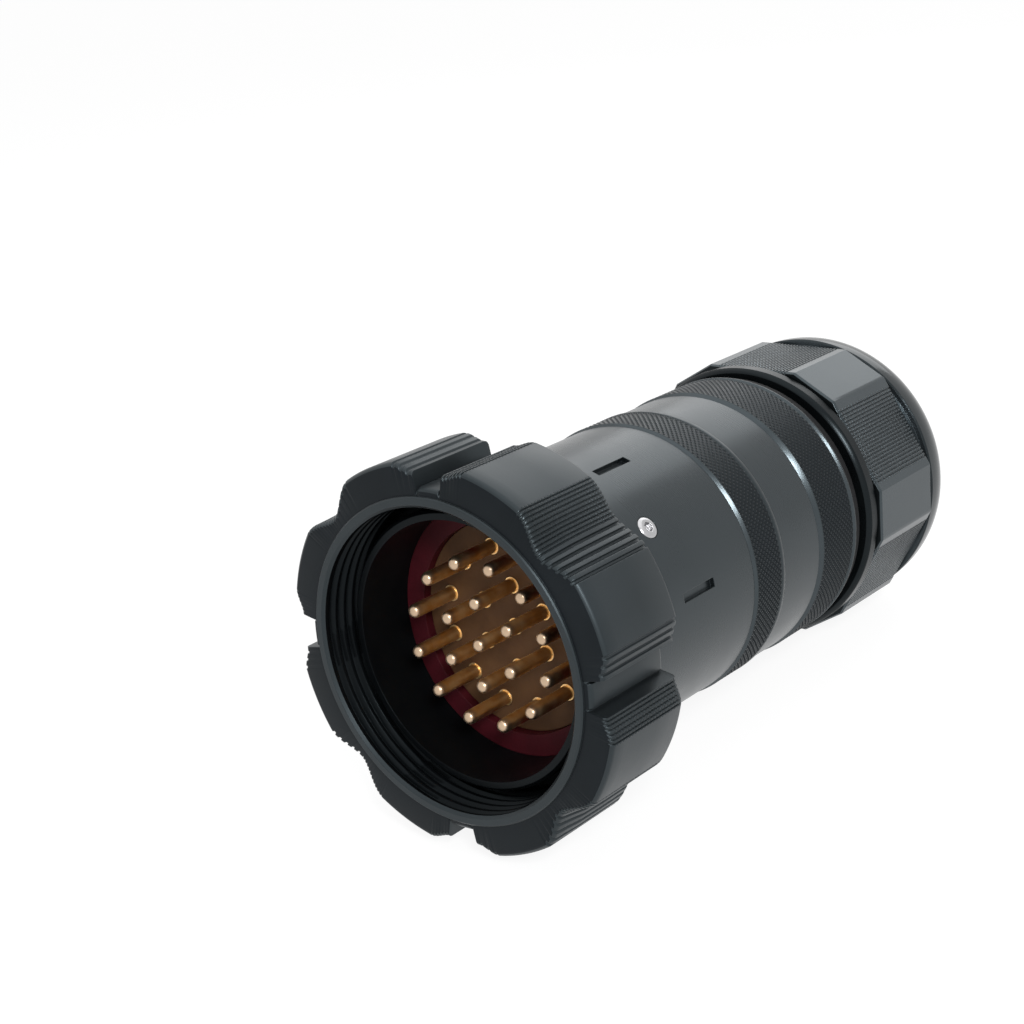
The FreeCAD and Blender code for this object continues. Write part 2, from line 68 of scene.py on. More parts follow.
# Radii
RING_THREAD = 26.006
LIP_INNER = 26.5
LIP_OUTER = 27.85
NOTCH = 29.206
LOBE_CREST = 33.406
LOBE_VALLEY = 31.5
VALLEY_DIP = 1.1
WEB_BORE = 24.456
BARREL = 25.206
BAND = 25.556
TAIL = 23.006
SPIGOT_BORE = 20.606
SOCKET = 22.206
GLAND_FRONT = 22.156
GLAND_FRONT_BORE = 19.356
GLAND_THREAD = 23.206
POCKET = 20.806
PASSAGE = 16.206
NUT_BORE = 23.256
NUT_FLAT = 25.656
NUT_HOLE = 17.806
SCREW_HEAD = 2.0
SCREW_SHANK = 1.2
PIN = 1.2
PIN_SHOULDER = 1.45
PIN_SOCKET = 1.75
INNER_CIRCLE = 7.25
OUTER_CIRCLE = 14.0056

# Places along the axis
RING_END = 19.6
WEB_FRONT = 15.6
PIN_TIP = 8.4
INSERT_FACE = 18.6
INSULATOR_JOINT = 27.0
SCREW_X = 31.1
PIN_END = 41.0
SPIGOT_FRONT = 44.0
BAND_FRONT = 52.4
BAND_REAR = 61.9
GLAND_FRONT_X = 64.4
GLAND_SEAT = 74.2
GLAND_BAND_REAR = 86.5
NUT_FRONT = 90.0
NUT_FLATS_FRONT = 93.0
SEAL_FRONT = 96.5
GLAND_END = 110.5
NUT_FLATS_END = 112.6
NUT_SHOULDER = 113.3
NUT_END = 121.9

# Locking screw: place round the barrel and height of its seat against the barrel's skin
SCREW_ANGLE = 50.0
SCREW_SEAT = -1.1

# Threads
THREAD_PITCH = 2.0
THREAD_STEPS = 6
RING_THREAD_DEPTH = 0.9
GLAND_THREAD_DEPTH = 0.8


def place(x, radius, angle):
    """Point in the row frame from its place along the axis, radius and angle."""
    turn = math.radians(angle)
    across = UP * math.cos(turn) - SIDE * math.sin(turn)
    return MOUTH + (AXIS * x + across * radius) * MM


def smooth(value):
    """Soft step from 0 to 1."""
    share = min(1.0, max(0.0, value))
    return share * share * (3 - 2 * share)


def thread_rise(phase):
    """Height of a rounded thread, 0 in the groove and 1 on the crest, over one turn."""
    crest = 1.0 - abs(2 * (phase % 1.0) - 1.0)
    return smooth(crest * 1.4)


def shade(mesh, work, sharp):
    """Write the work mesh back, with its normals outwards and its edges sharp past an angle."""
    bmesh.ops.recalc_face_normals(work, faces=work.faces)
    work.to_mesh(mesh)
    work.free()
    mesh.set_sharp_from_angle(angle=math.radians(sharp))


def add_object(name, mesh, body, replaced):
    """Piece that moves with its body and takes the place of CAD nodes."""
    piece = bpy.data.objects.new(name, mesh)
    scene.collection.objects.link(piece)
    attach(piece, body)
    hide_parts(*replaced)


def lathe(name, stations, angles, body, materials, replaced, sharp, slots):
    """Closed ring: a loop of stations, each (x, radius) or a function of the angle.

    The function slots says which material the face after a station takes."""
    mesh = bpy.data.meshes.new(name)
    work = bmesh.new()
    rows = []
    for angle in angles:
        row = []
        for station in stations:
            x, radius = station(angle) if callable(station) else station
            row.append(work.verts.new(place(x, radius, angle)))
        rows.append(row)
    count = len(stations)
    for index, row in enumerate(rows):
        after = rows[(index + 1) % len(rows)]
        for step in range(count):
            following = (step + 1) % count
            corners = [row[step], after[step], after[following], row[following]]
            face = work.faces.new(corners)
            face.smooth = True
            face.material_index = slots(step, angles[index])
    bmesh.ops.dissolve_degenerate(work, dist=1e-7, edges=work.edges)
    shade(mesh, work, sharp)
    add_object(name, mesh, body, replaced)
    for material in materials:
        mesh.materials.append(material)


# Materials
NOISE_LOW = 0.3
NOISE_HIGH = 0.7
COLOUR_LOW = 0.35
COOL_REFLECTION = (0.76, 0.92, 1.0, 1.0)
TURNED_LINES = 5200.0
TURNED_SHEEN = 0.03
STEEL = (0.5, 0.5, 0.51)
STEEL_DARK = tuple(value * 0.85 for value in STEEL)


def node_material(name):
    """New material with its node tree and its shader."""
    material = bpy.data.materials.new(name)
    material.use_nodes = True
    tree = material.node_tree
    return material, tree, tree.nodes["Principled BSDF"]


def link(tree, source, target):
    tree.links.new(source, target)


def math_node(tree, operation, first, second, third=None):
    """Result of an operation on sockets or plain numbers."""
    node = tree.nodes.new("ShaderNodeMath")
    node.operation = operation
    for index, value in enumerate((first, second, third)):
        if value is None:
            continue
        if isinstance(value, (int, float)):
            node.inputs[index].default_value = value
        else:
            link(tree, value, node.inputs[index])
    return node.outputs[0]


def along_axis(tree):
    """Distance from the mouth along the connector's axis, in metres."""
    coordinates = tree.nodes.new("ShaderNodeTexCoord")
    shift = tree.nodes.new("ShaderNodeVectorMath")
    shift.operation = "SUBTRACT"
    link(tree, coordinates.outputs["Object"], shift.inputs[0])
    shift.inputs[1].default_value = MOUTH
    dot = tree.nodes.new("ShaderNodeVectorMath")
    dot.operation = "DOT_PRODUCT"
    link(tree, shift.outputs[0], dot.inputs[0])
    dot.inputs[1].default_value = AXIS
    return dot.outputs["Value"]


def noise(tree, scale, detail=3.0, roughness=0.55, vector=None):
    """Noise in object space, or over the given vector."""
    node = tree.nodes.new("ShaderNodeTexNoise")
    node.inputs["Scale"].default_value = scale
    node.inputs["Detail"].default_value = detail
    node.inputs["Roughness"].default_value = roughness
    if vector is None:
        coordinates = tree.nodes.new("ShaderNodeTexCoord")
        vector = coordinates.outputs["Object"]
    link(tree, vector, node.inputs["Vector"])
    return node.outputs["Fac"]


def map_range(tree, value, low, high, to_low, to_high):
    """Value carried over from one range to another."""
    node = tree.nodes.new("ShaderNodeMapRange")
    link(tree, value, node.inputs["Value"])
    node.inputs["From Min"].default_value = low
    node.inputs["From Max"].default_value = high
    node.inputs["To Min"].default_value = to_low
    node.inputs["To Max"].default_value = to_high
    return node.outputs["Result"]


def spread(tree, value, to_low=0.0, to_high=1.0, low=NOISE_LOW):
    """Noise spread from the range that it mostly fills over the wanted one."""
    return map_range(tree, value, low, NOISE_HIGH, to_low, to_high)


def blend_colours(tree, factor, first, second):
    """Mix of two colours, each of them a socket or a plain colour."""
    node = tree.nodes.new("ShaderNodeMix")
    node.data_type = "RGBA"
    link(tree, factor, node.inputs["Factor"])
    for value, socket in ((first, node.inputs["A"]), (second, node.inputs["B"])):
        if isinstance(value, tuple):
            socket.default_value = value + (1.0,)
        else:
            link(tree, value, socket)
    return node.outputs["Result"]


def bevelled(tree, shader, radius, height, strength, distance):
    """Rounded edges in the shading, with a fine height on top of them."""
    bevel = tree.nodes.new("ShaderNodeBevel")
    bevel.samples = 6
    bevel.inputs["Radius"].default_value = radius
    bump = tree.nodes.new("ShaderNodeBump")
    bump.inputs["Strength"].default_value = strength
    bump.inputs["Distance"].default_value = distance
    link(tree, height, bump.inputs["Height"])
    link(tree, bevel.outputs["Normal"], bump.inputs["Normal"])
    link(tree, bump.outputs["Normal"], shader.inputs["Normal"])


def black_metal(name, dark, light, rough, marks, gloss, cross_cut=0.0):
    """Black anodised metal: faint turning lines round the axis, fine grain, soft worn patches.

    With cross_cut, a pitch in metres, grooves of that pitch run round the axis."""
    material, tree, shader = node_material(name)
    shader.inputs["Specular IOR Level"].default_value = gloss
    shader.inputs["Specular Tint"].default_value = COOL_REFLECTION
    along = along_axis(tree)
    cloud = noise(tree, scale=90.0, detail=4.0)
    grain = noise(tree, scale=2600.0, detail=2.0)
    lines = tree.nodes.new("ShaderNodeCombineXYZ")
    link(tree, math_node(tree, "MULTIPLY", along, TURNED_LINES), lines.inputs[0])
    turned = noise(tree, scale=1.0, detail=2.0, roughness=0.5, vector=lines.outputs[0])
    colour = blend_colours(tree, spread(tree, cloud, low=COLOUR_LOW), dark, light)
    link(tree, colour, shader.inputs["Base Color"])
    streaks = spread(tree, turned, -TURNED_SHEEN, TURNED_SHEEN)
    sheen = math_node(tree, "ADD", spread(tree, cloud, *rough), streaks)
    link(tree, sheen, shader.inputs["Roughness"])
    relief = math_node(tree, "ADD", math_node(tree, "MULTIPLY", turned, marks), grain)
    strength = 0.12
    distance = 0.00004
    if cross_cut:
        wave = math_node(tree, "PINGPONG", along, cross_cut / 2)
        wave = map_range(tree, wave, cross_cut * 0.08, cross_cut * 0.25, 0.0, 1.0)
        relief = math_node(tree, "MULTIPLY_ADD", relief, 0.04, wave)
        strength = 0.9
        distance = 0.0002
    bevelled(tree, shader, radius=0.00018, height=relief, strength=strength, distance=distance)
    return material


def gold():
    """Gold plating, paler and duller at the tips: a painted highlight tint, so the lit tips read pinkish
    white.
    """
    material, tree, shader = node_material("contact_gold_plating")
    cloud = noise(tree, scale=420.0)
    plating = blend_colours(tree, spread(tree, cloud, low=COLOUR_LOW),
                            (0.85, 0.56, 0.24), (0.95, 0.72, 0.42))
    # Painted highlight tint: towards the tip the gold turns paler and duller, so the lit tips read
    # pinkish white.
    tip_painted_highlight = map_range(tree, along_axis(tree), (PIN_TIP + 0.7) * MM, (PIN_TIP + 1.8) * MM, 1.0, 0.0)
    link(tree, blend_colours(tree, tip_painted_highlight, plating, (0.56, 0.41, 0.28)), shader.inputs["Base Color"])
    shader.inputs["Metallic"].default_value = 1.0
    link(tree, spread(tree, cloud, 0.28, 0.42), shader.inputs["Roughness"])
    grain = noise(tree, scale=3000.0)
    bevelled(tree, shader, radius=0.0001, height=grain, strength=0.08, distance=0.00003)
    return material


def steel(name, rough):
    """Bright steel with slight cloudiness."""
    material, tree, shader = node_material(name)
    cloud = noise(tree, scale=900.0)
    link(tree, blend_colours(tree, cloud, STEEL_DARK, STEEL), shader.inputs["Base Color"])
    shader.inputs["Metallic"].default_value = 1.0
    link(tree, spread(tree, cloud, *rough), shader.inputs["Roughness"])
    grain = noise(tree, scale=4000.0)
    bevelled(tree, shader, radius=0.00015, height=grain, strength=0.1, distance=0.00003)
    return material


def moulded(name, dark, light, rough):
    """Moulded plastic or rubber: fine even grain and slight cloudiness."""
    material, tree, shader = node_material(name)
    shader.inputs["Specular IOR Level"].default_value = 0.2
    cloud = noise(tree, scale=160.0, detail=4.0)
    grain = noise(tree, scale=1800.0)
    link(tree, blend_colours(tree, spread(tree, cloud), dark, light), shader.inputs["Base Color"])
    link(tree, spread(tree, grain, *rough), shader.inputs["Roughness"])
    bevelled(tree, shader, radius=0.0002, height=grain, strength=0.2, distance=0.00006)
    return material


shell_black = black_metal("shell_black_satin", (0.004, 0.005, 0.0055), (0.007, 0.0085, 0.0095),
                          rough=(0.25, 0.33), marks=0.4, gloss=0.58)
# Darker, less glossy copy of the shell's black for the knurled bands: painted shade of the knurl.
band_black_painted_shade = black_metal("shell_black_knurl_painted_shade", (0.002, 0.0028, 0.0036), (0.004, 0.005, 0.0065),
                         rough=(0.28, 0.36), marks=0.1, gloss=0.36)
# Lighter, glossier copy of the shell's black for the bevelled band edges: a painted highlight along the
# chamfers.
edge_black_painted_highlight = black_metal("shell_black_edge_painted_highlight", (0.012, 0.014, 0.0155), (0.016, 0.018, 0.02),
                         rough=(0.2, 0.26), marks=0.1, gloss=0.7)
ring_black = black_metal("ring_black_satin", (0.008, 0.0098, 0.0107), (0.0115, 0.0142, 0.016),
                         rough=(0.34, 0.42), marks=0.15, gloss=0.42)
ring_cut = black_metal("ring_black_crosscut", (0.008, 0.01, 0.011), (0.012, 0.015, 0.017),
                       rough=(0.36, 0.44), marks=0.15, gloss=0.38, cross_cut=0.0008)
# Darker, less glossy copy of the ring's black for the lobe fronts: painted shade in place of the dark
# reflections there.
front_black_painted_shade = black_metal("ring_black_front_painted_shade", (0.004, 0.005, 0.0062), (0.0062, 0.0076, 0.0094),
                          rough=(0.38, 0.48), marks=0.15, gloss=0.16)
# Near-black, dull copy of the black metal for the bores and the plug shell inside the ring: painted shade
# in the recesses.
bore_black_painted_shade = black_metal("bore_black_painted_shade", (0.0015, 0.002, 0.0025), (0.003, 0.0035, 0.004),
                         rough=(0.28, 0.4), marks=0.4, gloss=0.12)
nut_black = black_metal("nut_black_gloss", (0.013, 0.0155, 0.0175), (0.018, 0.0215, 0.024),
                        rough=(0.18, 0.26), marks=0.05, gloss=0.7)
# Darker, less reflective copy of the nut's black for the dome: painted shade; its lower roughness is the
# dome's own gloss.
dome_black_painted_shade = black_metal("nut_black_dome_painted_shade", (0.004, 0.005, 0.0055), (0.006, 0.0072, 0.008),
                         rough=(0.12, 0.18), marks=0.03, gloss=0.38)
# Near-black, dull copy of the nut's black for its front land: painted shade in the gap before the flats.
land_black_painted_shade = black_metal("nut_black_land_painted_shade", (0.002, 0.0026, 0.003), (0.004, 0.005, 0.0055),
                         rough=(0.22, 0.3), marks=0.1, gloss=0.2)
nut_cut = black_metal("nut_black_crosscut", (0.01, 0.012, 0.0135), (0.014, 0.017, 0.019),
                      rough=(0.24, 0.32), marks=0.05, gloss=0.6, cross_cut=0.0011)
contact_gold = gold()
screw_steel = steel("screw_steel_bright", rough=(0.18, 0.3))
washer_steel = steel("washer_steel_plain", rough=(0.25, 0.4))
insulator = moulded("insulator_brown", (0.07, 0.034, 0.015), (0.11, 0.056, 0.026), rough=(0.45, 0.6))
gasket_red = moulded("gasket_red_rubber", (0.036, 0.0025, 0.0055), (0.062, 0.0045, 0.0095),
                     rough=(0.5, 0.65))
rubber_black = moulded("rubber_black_soft", (0.004, 0.004, 0.0045), (0.008, 0.008, 0.009),
                       rough=(0.5, 0.68))

CAD_FINISH = {
    # The plug shell sits deep in the mouth and takes the near-black copy: painted shade.
    "plug_shell": bore_black_painted_shade,
    "wave_washer": washer_steel,
    "face_gasket": gasket_red,
    "front_insulator": insulator,
    "rear_insulator": insulator,
    "insert_retaining_ring": shell_black,
    "front_barrel": shell_black,
    "locking_screw": screw_steel,
    "front_barrel_oring": rubber_black,
    "rear_barrel_oring": rubber_black,
    "gland_oring": rubber_black,
    "seal_grommet": rubber_black,
    "thrust_washer": washer_steel,
}
for node_name, material in CAD_FINISH.items():
    mesh = nodes[node_name].data
    if not mesh.materials:
        mesh.materials.append(material)
    for index in range(len(mesh.materials)):
        mesh.materials[index] = material


# Coupling ring, with angles in degrees within each pair of lobes
PAIR = 90.0
LOBE_START = 13.0
LOBE_END = 32.0
NOTCH_EDGE = 5.0
WALL_TOP = 5.5
FLANK_LOW = 31.806
FINE_RIB = 1.2
WIDE_RIB = 2.4
FINE_END = 45.2
RIB_WALL = 0.12
NOTCH_SINK = 0.5
VALLEY_RUN = 9.0
FLANK_RIB_DEPTH = 0.3
FINE_RIB_DEPTH = 0.25
WIDE_RIB_DEPTH = 0.45
FINE_STEP = 0.13
WIDE_STEP = 1.5
RING_THREAD_REAR = 10.6
RING_THREAD_TURNS = 5


def rib_drop(angle, start, pitch, depth):
    """Depth of the groove at an angle in a row of ribs with flat tops."""
    share = ((angle - start) / pitch) % 1.0
    return depth * smooth((share - 0.5) / RIB_WALL) * smooth((1.0 - share) / RIB_WALL)


def ring_outline(angle, x):
    """Radius of the lobed outline at an angle; the valleys fall away towards the mouth."""
    turn = angle % PAIR
    near = min(turn, PAIR - turn)
    if near < NOTCH_EDGE:
        return NOTCH - NOTCH_SINK * smooth((near - NOTCH_EDGE + 1.0) / 0.4)
    if near < WALL_TOP:
        return NOTCH + (FLANK_LOW - NOTCH) * (near - NOTCH_EDGE) / (WALL_TOP - NOTCH_EDGE)
    if near < LOBE_START:
        rise = smooth((near - WALL_TOP) / (LOBE_START - WALL_TOP))
        radius = FLANK_LOW + (LOBE_CREST - FLANK_LOW) * rise
        pitch = FINE_RIB if turn < PAIR / 2 else WIDE_RIB
        return radius - rib_drop(near, WALL_TOP, pitch, FLANK_RIB_DEPTH)
    if near <= LOBE_END:
        return LOBE_CREST
    rise = smooth(abs(turn - PAIR / 2) / (PAIR / 2 - LOBE_END))
    valley = LOBE_VALLEY - VALLEY_DIP * (1 - smooth(x / VALLEY_RUN))
    radius = valley + (LOBE_CREST - valley) * rise
    if turn < FINE_END:
        return radius - rib_drop(turn, LOBE_END, FINE_RIB, FINE_RIB_DEPTH)
    return radius - rib_drop(turn, FINE_END, WIDE_RIB, WIDE_RIB_DEPTH)


def ring_angles():
    """Close steps over the ribs, wider ones over the smooth crests."""
    steps = [NOTCH_EDGE + offset for offset in (-1.0, -0.8, -0.6, -0.05)] + [WALL_TOP, WALL_TOP + 0.15]
    turn = 0.0
    while turn < PAIR / 2:
        steps.append(turn)
        plain = turn < NOTCH_EDGE - 0.5 or LOBE_START < turn < LOBE_END - WIDE_STEP
        turn += WIDE_STEP if plain else FINE_STEP
    half = sorted(set(round(value, 3) for value in steps))
    one = half + [round(PAIR - value, 3) for value in reversed(half) if value > 0]
    return [pair * PAIR + value for pair in range(4) for value in one]


def coupling_ring():
    """Lobed ring: lip and lobe front, skin, rear edge, web and relieved, threaded bore."""
    relief = RING_THREAD + RING_THREAD_DEPTH

    def outer(x, drop):
        return lambda angle: (x, max(ring_outline(angle, x) - drop, LIP_OUTER + 0.02))

    stations = [(0.0, LIP_INNER), (0.0, LIP_OUTER - 0.25), (0.25, LIP_OUTER), (0.55, LIP_OUTER + 0.01)]
    edge = [(0.6, 0.9), (0.68, 0.6), (0.85, 0.35), (1.1, 0.12)]
    skin = [(1.5, 0.0), (4.0, 0.0), (7.0, 0.0), (12.0, 0.0), (RING_END - 1.0, 0.0)]
    rear = [(RING_END - 0.6, 0.12), (RING_END - 0.3, 0.35), (RING_END - 0.05, 0.8)]
    lobe_front = len(stations)
    skin_start = lobe_front + len(edge)
    skin_end = skin_start + len(skin)
    stations += [outer(x, drop) for x, drop in edge + skin + rear]
    stations += [(RING_END, LIP_OUTER), (RING_END, WEB_BORE + 0.3), (RING_END - 0.3, WEB_BORE)]
    stations += [(WEB_FRONT, WEB_BORE)]
    bore_start = len(stations)
    stations += [(WEB_FRONT, relief), (RING_THREAD_REAR + 0.2, relief)]
    for index in range(RING_THREAD_TURNS * THREAD_STEPS):
        back = RING_THREAD_REAR - index * THREAD_PITCH / THREAD_STEPS

        def threaded(angle, x=back, share=(index % THREAD_STEPS) / THREAD_STEPS):
            groove = (1 - thread_rise(share + angle / 360.0)) * smooth((x - 0.6) / 1.2)
            return x, RING_THREAD + RING_THREAD_DEPTH * groove

        stations.append(threaded)
    bore_end = len(stations)
    stations.append((0.5, RING_THREAD))

    def finish_of(step, angle):
        turn = angle % PAIR
        # The threaded bore takes the near-black copy: painted shade.
        if bore_start <= step < bore_end:
            return 1
        # The lobe fronts take the darker copy of the ring's black: painted shade.
        if step in (lobe_front - 1, lobe_front):
            return 2
        fine = WALL_TOP < turn < LOBE_START or LOBE_END < turn < FINE_END
        return 3 if fine and skin_start <= step < skin_end else 0

    lathe("coupling_ring_lobed", stations, ring_angles(), "ring_body",
          [ring_black, bore_black_painted_shade, front_black_painted_shade, ring_cut], ["coupling_ring"], 30.0, finish_of)


coupling_ring()


# Knurled bands
KNURL_COLUMNS = 150
KNURL_DEPTH = 0.3
KNURL_STEPS = 4
KNURL_FADE = 0.3
ORING_WIDTH = 1.8
ORING_DEPTH = 1.1


def knurl_height(along, angle, rows):
    """Depth of the crossed V grooves, from the share of the band's length and the angle."""
    u = along * rows
    v = angle / 360.0 * KNURL_COLUMNS
    first = abs(((u + v) % 1.0) - 0.5) * 2
    second = abs(((u - v) % 1.0) - 0.5) * 2
    return KNURL_DEPTH * smooth(max(first, second) * 1.6 - 0.6)


def spigot(front, bore, radius, band_front):
    """Stations of the plain end ahead of a band, with the groove for its sealing ring."""
    groove = front + 1.6
    floor_radius = radius - ORING_DEPTH
    return [(front, bore), (front, radius), (groove, radius), (groove, floor_radius),
            (groove + ORING_WIDTH, floor_radius), (groove + ORING_WIDTH, radius), (band_front, radius)]


def knurled_piece(name, before, x0, x1, after, replaced, relief=0.0):
    """Band with crossed grooves between a bevelled front edge and a plain rear land.

    With relief, a turned groove ends the knurl and the land begins with a bevel."""
    start = x0 + 0.8
    end = x1 - 0.9
    length = end - start
    rows = round(length / (2 * math.pi * BAND / KNURL_COLUMNS))
    count = rows * KNURL_STEPS
    bevel = len(before)
    knurl_start = bevel + 2
    knurl_end = knurl_start + count
    stations = before + [(x0, BAND - 0.8), (x0 + 0.7, BAND - 0.08), (start, BAND)]
    for index in range(count + 1):
        def knurled(angle, x=start + length * index / count):
            fade = smooth((x - start) / KNURL_FADE) * smooth((end - x) / KNURL_FADE)
            sink = relief * smooth((x - end + 0.35) / KNURL_FADE)
            return x, BAND - sink - fade * knurl_height((x - start) / length, angle, rows)

        stations.append(knurled)
    if relief:
        stations.append((end + relief, BAND))
    stations += [(x1 - 0.15, BAND), (x1, BAND - 0.12)] + after
    divisions = KNURL_COLUMNS * KNURL_STEPS
    angles = [index * 360.0 / divisions for index in range(divisions)]
    bevels = (bevel, knurl_end + 1) if relief else (bevel,)

    def finish_of(step, angle):
        # The bevels take the lighter copy of the shell's black: painted highlight.
        if step in bevels:
            return 1
        # The knurl takes the darker copy of the shell's black: painted shade.
        return 2 if knurl_start <= step < knurl_end else 0

    lathe(name, stations, angles, "shell_body", [shell_black, edge_black_painted_highlight, band_black_painted_shade],
          replaced, 40.0, finish_of)


def rear_barrel():
    after = [(BAND_REAR + 0.02, BARREL), (BAND_REAR + 4.0, BARREL), (BAND_REAR + 8.0, BARREL),
             (GLAND_SEAT - 0.5, BARREL), (GLAND_SEAT, BARREL - 0.5), (GLAND_SEAT, SOCKET),
             (GLAND_FRONT_X - 0.4, SOCKET), (GLAND_FRONT_X - 0.4, SPIGOT_BORE)]
    knurled_piece("rear_barrel_knurled", spigot(SPIGOT_FRONT, SPIGOT_BORE, TAIL, BAND_FRONT),
                  BAND_FRONT, BAND_REAR, after, ["rear_barrel"])


def gland_body():
    after = [(GLAND_BAND_REAR, GLAND_THREAD)]
    first = GLAND_BAND_REAR + 2.8
    step = THREAD_PITCH / THREAD_STEPS
    for index in range(int((GLAND_END - 0.6 - first) / step) + 1):
        def threaded(angle, x=first + index * step, share=(index % THREAD_STEPS) / THREAD_STEPS):
            return x, GLAND_THREAD - GLAND_THREAD_DEPTH * (1 - thread_rise(share - angle / 360.0))

        after.append(threaded)
    after += [(GLAND_END - 0.5, GLAND_THREAD - 0.8), (GLAND_END, GLAND_THREAD - 1.1),
              (GLAND_END, POCKET), (SEAL_FRONT, POCKET), (SEAL_FRONT, PASSAGE),
              (GLAND_BAND_REAR, PASSAGE), (GLAND_SEAT, GLAND_FRONT_BORE)]
    knurled_piece("gland_body_knurled", spigot(GLAND_FRONT_X, GLAND_FRONT_BORE, GLAND_FRONT, GLAND_SEAT),
                  GLAND_SEAT, GLAND_BAND_REAR, after, ["gland_body"], relief=0.45)


rear_barrel()
gland_body()


# Gland nut, with angles in degrees from the middle of each wide flat
NUT_SIDE = 60.0
FLAT_HALF = 20.0
RIBS_HALF = 16.5
NUT_RIB = 1.5
NUT_RIB_DEPTH = 0.22
NUT_GROOVE = NUT_FLAT - 0.3
NUT_LAND = NUT_FLAT + 0.65
NUT_DOME = NUT_FLAT + 0.8
DOME_STEPS = 12


def from_flat(angle):
    """Angle from the middle of the nearest wide flat."""
    return (angle + NUT_SIDE / 2) % NUT_SIDE - NUT_SIDE / 2


def nut_outline(angle):
    """Twelve-sided outline: six wide ribbed flats and six narrow plain ones."""
    turn = from_flat(angle)
    if abs(turn) <= FLAT_HALF:
        radius = NUT_FLAT / math.cos(math.radians(turn))
        if abs(turn) < RIBS_HALF:
            radius -= rib_drop(turn, -RIBS_HALF, NUT_RIB, NUT_RIB_DEPTH)
        return radius
    corner = NUT_FLAT / math.cos(math.radians(FLAT_HALF))
    narrow = corner * math.cos(math.radians(NUT_SIDE / 2 - FLAT_HALF))
    away = NUT_SIDE / 2 - abs(turn)
    return narrow / math.cos(math.radians(away))


def nut_angles():
    """Close steps over the ribs, wider ones over the corners and the narrow flats."""
    turns = [FLAT_HALF + step * 1.25 for step in range(16)]
    turn = -FLAT_HALF
    while turn < FLAT_HALF - 1e-6:
        turns.append(turn)
        turn += 0.125 if abs(turn + 0.06) < RIBS_HALF + 0.1 else 0.5
    around = [side * NUT_SIDE + value for side in range(6) for value in turns]
    return sorted(set(round(angle % 360.0, 4) for angle in around))


def gland_nut():
    """Nut: smooth front land, ribbed flats, groove, domed rear and the hole for the cable."""
    def outer(x, drop):
        return lambda angle: (x, max(nut_outline(angle) - drop, NUT_GROOVE))

    stations = [(NUT_FRONT, NUT_BORE), (NUT_FRONT, NUT_LAND - 0.8), (NUT_FRONT + 0.3, NUT_LAND - 0.3),
                (NUT_FRONT + 0.8, NUT_LAND), (NUT_FLATS_FRONT - 0.3, NUT_LAND),
                (NUT_FLATS_FRONT, NUT_LAND - 0.3), (NUT_FLATS_FRONT + 0.05, NUT_GROOVE)]
    flats_start = len(stations)
    flats = [(NUT_FLATS_FRONT + 0.2, 0.3), (NUT_FLATS_FRONT + 0.6, 0.0), (NUT_FLATS_FRONT + 6.0, 0.0),
             (NUT_FLATS_FRONT + 13.0, 0.0), (NUT_FLATS_END - 0.5, 0.0), (NUT_FLATS_END - 0.1, 0.3)]
    stations += [outer(x, drop) for x, drop in flats]
    stations += [(NUT_FLATS_END, NUT_GROOVE), (NUT_FLATS_END + 0.9, NUT_GROOVE)]
    dome_start = len(stations)
    stations.append((NUT_FLATS_END + 1.0, NUT_DOME - 0.25))
    rim = NUT_HOLE + 3.4
    front = NUT_FLATS_END + 1.25
    for index in range(DOME_STEPS + 1):
        turn = math.pi / 2 * index / DOME_STEPS
        fall = (1 - math.cos(turn)) ** 1.15
        stations.append((front + (NUT_END - front) * math.sin(turn), rim + (NUT_DOME - rim) * (1 - fall)))
    stations += [(NUT_END, NUT_HOLE + 1.0), (NUT_END - 0.12, NUT_HOLE + 0.5),
                 (NUT_END - 0.45, NUT_HOLE + 0.12), (NUT_END - 1.0, NUT_HOLE),
                 (NUT_SHOULDER, NUT_HOLE), (NUT_SHOULDER, NUT_BORE)]
    ribbed = range(flats_start + 1, flats_start + 4)

    def finish_of(step, angle):
        # The front land takes the near-black copy of the nut's black: painted shade.
        if step < flats_start:
            return 2
        # The dome takes the darker copy of the nut's black: painted shade.
        if step >= dome_start:
            return 3
        return 1 if step in ribbed and abs(from_flat(angle)) < RIBS_HALF + 0.5 else 0

    lathe("gland_nut_domed", stations, nut_angles(), "nut_body",
          [nut_black, nut_cut, land_black_painted_shade, dome_black_painted_shade], ["gland_nut"], 30.0, finish_of)


gland_nut()


# Contacts and locking screw
PIN_SIDES = 32
SCREW_SIDES = 48


def capped_rings(name, rings, body, material, replaced):
    """Closed skin over a row of rings of points, with a cap at each end."""
    mesh = bpy.data.meshes.new(name)
    work = bmesh.new()
    rows = [[work.verts.new(point) for point in ring] for ring in rings]
    sides = len(rows[0])
    for first, second in zip(rows, rows[1:]):
        for side in range(sides):
            after = (side + 1) % sides
            face = work.faces.new([first[side], first[after], second[after], second[side]])
            face.smooth = True
    work.faces.new(rows[0]).smooth = True
    work.faces.new(rows[-1])
    shade(mesh, work, 50.0)
    mesh.materials.append(material)
    add_object(name, mesh, body, replaced)


